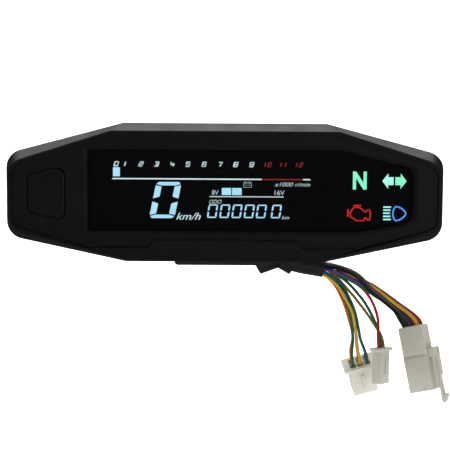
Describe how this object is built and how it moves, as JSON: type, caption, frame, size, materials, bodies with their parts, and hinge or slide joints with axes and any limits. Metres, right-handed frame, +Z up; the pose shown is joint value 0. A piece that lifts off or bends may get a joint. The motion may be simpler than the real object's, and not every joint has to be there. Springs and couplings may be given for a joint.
{
  "type": "motorcycle instrument cluster",
  "caption": "Wide motorcycle liquid-crystal instrument cluster with telltales, a mode button at the left and a short wiring harness ending in nylon plugs.",
  "frame": {"origin": "midway between the two rear mounting inserts, on the face of their bosses", "axes": "+Y out of the back along the mounting bolts, +X to the rider's right, +Z up; the display faces -Y"},
  "size_m": [0.2405, 0.034, 0.1528],
  "materials": {
    "cover_plastic": "fine satin texture",
    "button_plastic": "fine satin texture",
    "smoked_lens": "gloss, smoked",
    "seal_rubber": "matte",
    "housing_plastic": "fine texture",
    "screw_steel": "zinc plated",
    "insert_brass": "machined",
    "inner_plastic": "matte",
    "lcd_glass": "gloss",
    "polarizer": "gloss film",
    "tinned_metal": "tinned",
    "light_guide": "clear",
    "white_plastic": "matte white",
    "led": "gloss",
    "printed_film": "satin",
    "board": "solder mask",
    "chip_plastic": "matte",
    "can_aluminium": "bright",
    "nylon": "natural, milky",
    "terminal_brass": "tinned brass",
    "sleeve_rubber": "gloss sleeve",
    "lead_orange": "soft PVC insulation",
    "lead_green": "soft PVC insulation",
    "lead_yellow": "soft PVC insulation",
    "lead_red": "soft PVC insulation",
    "lead_teal": "soft PVC insulation",
    "lead_blue": "soft PVC insulation",
    "lead_olive": "soft PVC insulation",
    "lead_black": "soft PVC insulation",
    "lead_grey": "soft PVC insulation",
    "lead_brown": "soft PVC insulation",
    "lead_purple": "soft PVC insulation"
  },
  "bodies": {
    "cluster": {"front_cover": "cover_plastic", "smoked_lens": "smoked_lens", "lens_gasket": "seal_rubber", "rear_housing": "housing_plastic", "housing_seal": "seal_rubber", "housing_screws": "screw_steel", "vent_plug": "inner_plastic", "mount_inserts": "insert_brass", "display_frame": "inner_plastic", "lcd_glass": "lcd_glass", "lcd_polarizers": "polarizer", "lcd_pins": "tinned_metal", "light_guide": "light_guide", "backlight_reflector": "white_plastic", "backlight_leds": "led", "telltale_film": "printed_film", "telltale_lightbox": "white_plastic", "telltale_leds": "led", "circuit_board": "board", "board_screws": "screw_steel", "microcontroller": "chip_plastic", "lcd_driver": "chip_plastic", "voltage_regulator": "chip_plastic", "capacitors": "can_aluminium", "small_components": "chip_plastic", "harness_header": "nylon", "inner_leads": "sleeve_rubber", "button_seal": "seal_rubber", "switch_base": "chip_plastic", "harness_grommet": "seal_rubber", "harness_clip": "inner_plastic", "clip_screw": "screw_steel", "harness_sleeve": "sleeve_rubber", "plug_a": "nylon", "plug_b": "nylon", "socket_c": "nylon", "plug_a_terminals": "terminal_brass", "plug_b_terminals": "terminal_brass", "socket_c_terminals": "terminal_brass", "lead_a1_orange": "lead_orange", "lead_a2_green": "lead_green", "lead_a3_yellow": "lead_yellow", "lead_a4_red": "lead_red", "lead_a5_teal": "lead_teal", "lead_a6_blue": "lead_blue", "lead_b1_red": "lead_red", "lead_b2_green": "lead_green", "lead_b3_olive": "lead_olive", "lead_c1_black": "lead_black", "lead_c2_grey": "lead_grey", "lead_c3_green": "lead_green", "lead_c4_brown": "lead_brown", "lead_c5_purple": "lead_purple", "lead_c6_yellow": "lead_yellow", "lead_c7_blue": "lead_blue", "lead_c8_orange": "lead_orange", "lead_c9_red": "lead_red"},
    "button": {"mode_button": "button_plastic"},
    "plunger": {"switch_plunger": "inner_plastic"},
    "latch": {"socket_c_latch": "nylon"}
  },
  "joints": [
    {"name": "button_press", "type": "slide", "parent": "cluster", "child": "button", "axis": [0, 1, 0], "range_m": [0, 0.0008], "stiffness_N_per_m": 900},
    {"name": "plunger_press", "type": "slide", "parent": "cluster", "child": "plunger", "axis": [0, 1, 0], "range_m": [0, 0.0008]},
    {"name": "latch_flex", "type": "hinge", "parent": "cluster", "child": "latch", "pos_m": [0.11512, -0.02036, -0.08809], "axis": [-0.373, -0.9192, 0.1265], "range_deg": [0, 8], "stiffness_Nm_per_rad": 0.05}
  ],
  "couplings": [
    {"joint": "plunger_press", "follows": "button_press", "ratio": 1}
  ]
}
